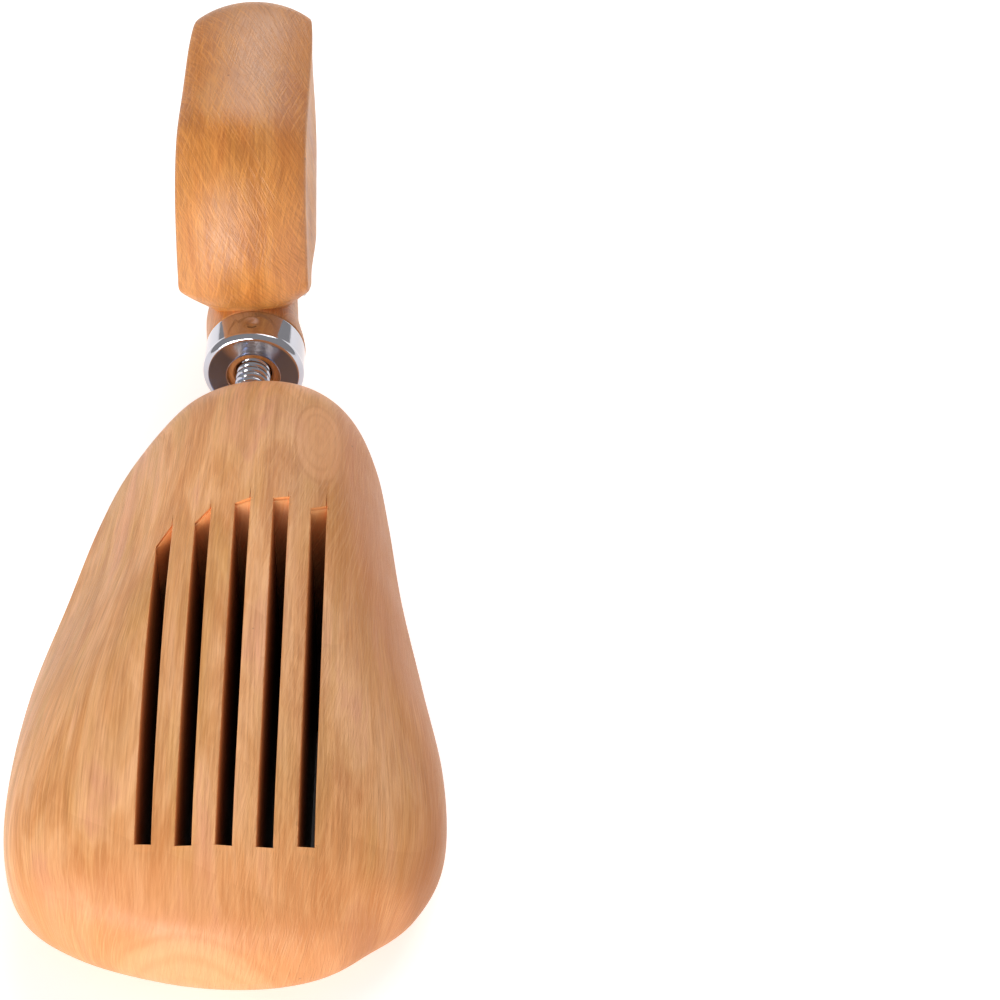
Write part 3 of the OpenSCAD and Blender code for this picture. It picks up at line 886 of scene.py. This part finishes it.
PIECES = [
    (make_forefoot, "forefoot_block", "forefoot", "forefoot_wood", WOODS["forefoot"]),
    (make_heel, "heel_block", "heel", "heel_wood", WOODS["heel"]),
    (make_spindle, "spindle", "spindle", "chrome_plate", CHROME),
    (make_ferrule, "ferrule", "heel", "chrome_plate", CHROME),
    (make_insert, "thread_insert", "forefoot", "plain_steel", STEEL),
    (lambda: disc("washer_disc", WASHER_LOW, WASHER_HIGH), "spring_washer", "washer", "plain_steel", STEEL),
    (lambda: disc("seat_disc", SEAT_LOW, SEAT_HIGH), "spring_seat", "heel", "plain_steel", STEEL),
    (make_spring, "compression_spring", "heel", "spring_steel", WIRE),
    (make_pin, "cross_pin", "heel", "plain_steel", STEEL),
]
for make, node, body, slot, material in PIECES:
    piece = make()
    piece.data.materials.clear()
    piece.data.materials.append(material)
    if node == "ferrule":
        # The flat front faces take the painted dark reflection.
        piece.data.materials.append(FERRULE_FACE_PAINTED_REFLECTION)
        for face in piece.data.polygons:
            face.material_index = int(face.normal.y < -0.98)
    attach(piece, body)
    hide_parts(node)
    if node == "compression_spring":
        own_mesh(piece)


# ---------- floor, light and camera ----------

FLOOR_R = 8
# The painted-shade patch of the floor, grey and not glowing, under the place where the vents come through the
# sole: middle and half size
PAINTED_SHADE_MIDDLE, PAINTED_SHADE_HALF = (0.002, 0.0105), (0.023, 0.025)


def floor():
    """A pale light table that glows evenly. Under the vents it is grey and does not glow, a painted shade
    that keeps them dark.
    """
    shades = []
    # The second floor shade is painted shade under the vents.
    for name, shade, glow in (("pale floor", 0.95, 0.42), ("floor under the sole painted shade", 0.5, 0.0)):
        n = Nodes(name)
        n.set(Base_Color=(shade, shade, shade, 1), Roughness=0.8, Specular_IOR_Level=0.2,
              Emission_Color=(1, 1, 1, 1), Emission_Strength=glow)
        shades.append(n.material)
    sides = 32
    turn = np.linspace(0, 2 * math.pi, sides, endpoint=False)
    inner = [(PAINTED_SHADE_MIDDLE[0] + PAINTED_SHADE_HALF[0] * signed_pow(math.cos(t), 0.4),
              PAINTED_SHADE_MIDDLE[1] + PAINTED_SHADE_HALF[1] * signed_pow(math.sin(t), 0.4), 0) for t in turn]
    outer = [(FLOOR_R * math.cos(t), FLOOR_R * math.sin(t), 0) for t in turn]
    ring = [(i, sides + i, sides + (i + 1) % sides, (i + 1) % sides) for i in range(sides)]
    mesh = bpy.data.meshes.new("floor")
    mesh.from_pydata(inner + outer, [], [tuple(range(sides))] + ring)
    for shade in shades:
        mesh.materials.append(shade)
    # The inner polygon takes the painted shade.
    mesh.polygons[0].material_index = 1
    made = bpy.data.objects.new("floor", mesh)
    bpy.context.scene.collection.objects.link(made)


def softbox(name, place, aim, size, power):
    data = bpy.data.lights.new(name, "AREA")
    data.shape = "RECTANGLE"
    data.size, data.size_y = size
    data.energy = power
    lamp = bpy.data.objects.new(name, data)
    lamp.location = place
    lamp.rotation_euler = (Vector(aim) - Vector(place)).to_track_quat("-Z", "Y").to_euler()
    bpy.context.scene.collection.objects.link(lamp)


def lighting():
    world = bpy.data.worlds.new("studio")
    world.use_nodes = True
    back = world.node_tree.nodes["Background"]
    back.inputs["Color"].default_value = (1.0, 1.0, 1.0, 1)
    back.inputs["Strength"].default_value = 0.38
    bpy.context.scene.world = world
    centre = (0, 0.07, 0.04)
    softbox("front", (-0.55, -1.2, 0.25), centre, (1.0, 0.45), 19.5)
    softbox("back", (0.35, 1.0, 1.3), centre, (1.4, 0.9), 14.5)


def camera():
    """Above the toe, 42 degrees up, through a long lens."""
    data = bpy.data.cameras.new("camera")
    data.sensor_width = 36
    data.lens = 102.6
    made = bpy.data.objects.new("camera", data)
    made.location = (0.05611, -0.41629, 0.47324)
    made.rotation_euler = (math.radians(48), 0, math.radians(-0.4))
    bpy.context.scene.collection.objects.link(made)
    bpy.context.scene.camera = made


floor()
lighting()
camera()
bpy.context.scene.view_settings.view_transform = "Standard"
